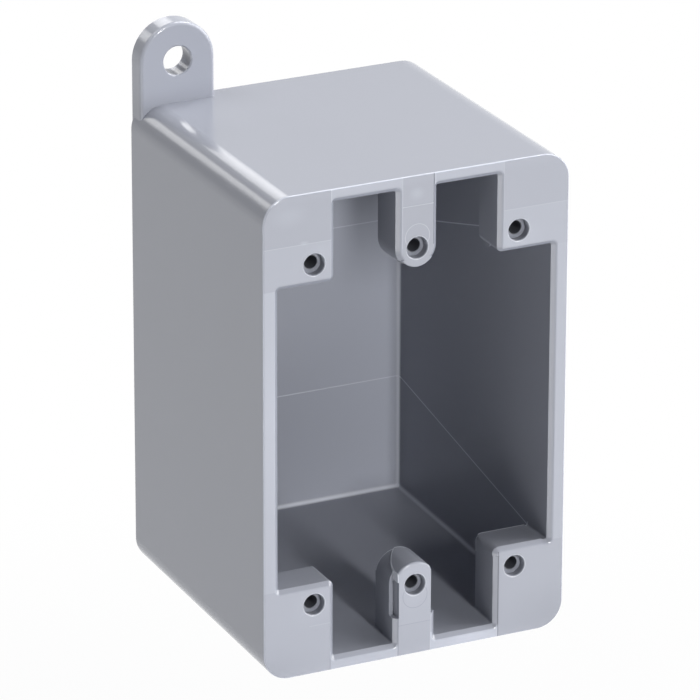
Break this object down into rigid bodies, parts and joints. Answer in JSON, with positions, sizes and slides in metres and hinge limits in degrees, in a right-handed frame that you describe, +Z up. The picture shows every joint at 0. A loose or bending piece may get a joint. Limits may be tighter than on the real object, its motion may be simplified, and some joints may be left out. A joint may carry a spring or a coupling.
{
  "type": "junction box",
  "caption": "Deep one-piece plastic electrical box, open at the front, with cover screw pads in its corners, device bosses at its ends and diagonal wall lugs at its back.",
  "frame": {"origin": "centre of the flat back face that lies on the wall", "axes": "+X to the right seen from the open front, +Y into the wall, +Z up"},
  "size_m": [0.077, 0.0745, 0.156],
  "materials": {
    "grey_pvc": "smooth moulded rigid PVC with a soft gloss"
  },
  "bodies": {
    "root": {"box_body": "grey_pvc"}
  },
  "joints": []
}
